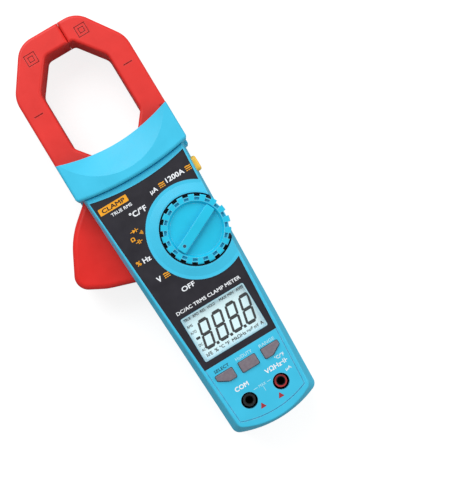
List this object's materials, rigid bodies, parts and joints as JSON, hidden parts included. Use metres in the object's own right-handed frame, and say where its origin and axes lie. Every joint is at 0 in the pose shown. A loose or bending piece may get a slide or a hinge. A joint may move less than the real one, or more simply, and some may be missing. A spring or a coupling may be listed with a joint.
{
  "type": "clamp meter",
  "caption": "Hand-held clamp meter with a sprung opening jaw, thumb trigger, rotary range knob, display, push buttons and shrouded test sockets.",
  "frame": {"origin": "on the flat back, on the centre line, 85 mm up from the lower end", "axes": "+X to the right seen from the front, +Y towards the jaw tips, +Z out of the front panel"},
  "size_m": [0.0891, 0.2373, 0.0403],
  "materials": {
    "case_blue": "satin",
    "label_dark": "satin",
    "jaw_red": "satin",
    "trigger_red": "satin",
    "knob_blue": "satin",
    "button_grey": "matt",
    "button_yellow": "satin",
    "window_clear": "gloss",
    "lcd_glass": "gloss",
    "light_guide": "gloss",
    "frame_white": "matt",
    "board_green": "satin",
    "plated_track": "gloss",
    "spring_brass": "satin",
    "chip_black": "matt",
    "can_silver": "satin",
    "disc_yellow": "satin",
    "insulator_black": "satin",
    "insulator_red": "satin",
    "contact_nickel": "gloss",
    "core_iron": "satin",
    "pin_steel": "satin",
    "bush_brass": "satin",
    "spring_steel": "satin",
    "pad_rubber": "matt",
    "cell_can": "gloss",
    "screw_steel": "satin",
    "dot_dark": "matt"
  },
  "bodies": {
    "meter": {"rear_case": "case_blue", "front_case": "case_blue", "head_cover": "case_blue", "front_label": "label_dark", "display_window": "window_clear", "lcd_glass": "lcd_glass", "lcd_backlight": "light_guide", "lcd_frame": "frame_white", "zebra_strip": "pad_rubber", "main_board": "board_green", "range_tracks": "plated_track", "board_chips": "chip_black", "board_capacitors": "can_silver", "input_protectors": "disc_yellow", "buzzer": "chip_black", "side_switch": "chip_black", "button_pad": "pad_rubber", "socket_barrels": "insulator_black", "socket_pillar_black": "insulator_black", "socket_pillar_red": "insulator_red", "socket_contacts": "contact_nickel", "fixed_jaw_front": "jaw_red", "fixed_jaw_rear": "jaw_red", "fixed_jaw_core": "core_iron", "field_sensor": "chip_black", "pivot_pin": "pin_steel", "return_spring": "spring_steel", "batteries": "cell_can", "battery_plates": "contact_nickel", "battery_springs": "spring_steel", "battery_door": "case_blue", "door_screw": "screw_steel", "case_screws": "screw_steel", "head_screws": "screw_steel"},
    "moving_jaw": {"moving_jaw_front": "jaw_red", "moving_jaw_rear": "jaw_red", "moving_jaw_core": "core_iron", "pivot_bush": "bush_brass", "trigger": "trigger_red", "jaw_screws": "screw_steel"},
    "range_knob": {"range_knob": "knob_blue", "pointer_dot": "dot_dark", "wiper_carrier": "frame_white", "wiper_contacts": "spring_brass"},
    "button_left": {"button_left": "button_grey"},
    "button_middle": {"button_middle": "button_grey"},
    "button_right": {"button_right": "button_grey"},
    "side_button": {"side_button": "button_yellow"}
  },
  "joints": [
    {"name": "jaw_pivot", "type": "hinge", "parent": "meter", "child": "moving_jaw", "pos_m": [-0.004, 0.07, 0.016], "axis": [0, 0, 1], "range_deg": [0, 27], "stiffness_Nm_per_rad": 1.5, "springref_deg": -28.65, "deforming": ["return_spring"]},
    {"name": "knob_turn", "type": "hinge", "parent": "meter", "child": "range_knob", "pos_m": [0.0123, 0.022, 0.033], "axis": [0, 0, 1], "range_deg": [-128.57, 25.71]},
    {"name": "left_button_press", "type": "slide", "parent": "meter", "child": "button_left", "axis": [0, 0, -1], "range_m": [0, 0.001], "stiffness_N_per_m": 400, "springref_m": -0.001},
    {"name": "middle_button_press", "type": "slide", "parent": "meter", "child": "button_middle", "axis": [0, 0, -1], "range_m": [0, 0.001], "stiffness_N_per_m": 400, "springref_m": -0.001},
    {"name": "right_button_press", "type": "slide", "parent": "meter", "child": "button_right", "axis": [0, 0, -1], "range_m": [0, 0.001], "stiffness_N_per_m": 400, "springref_m": -0.001},
    {"name": "side_button_press", "type": "slide", "parent": "meter", "child": "side_button", "axis": [-1, 0, 0], "range_m": [0, 0.001], "stiffness_N_per_m": 400, "springref_m": -0.001}
  ]
}
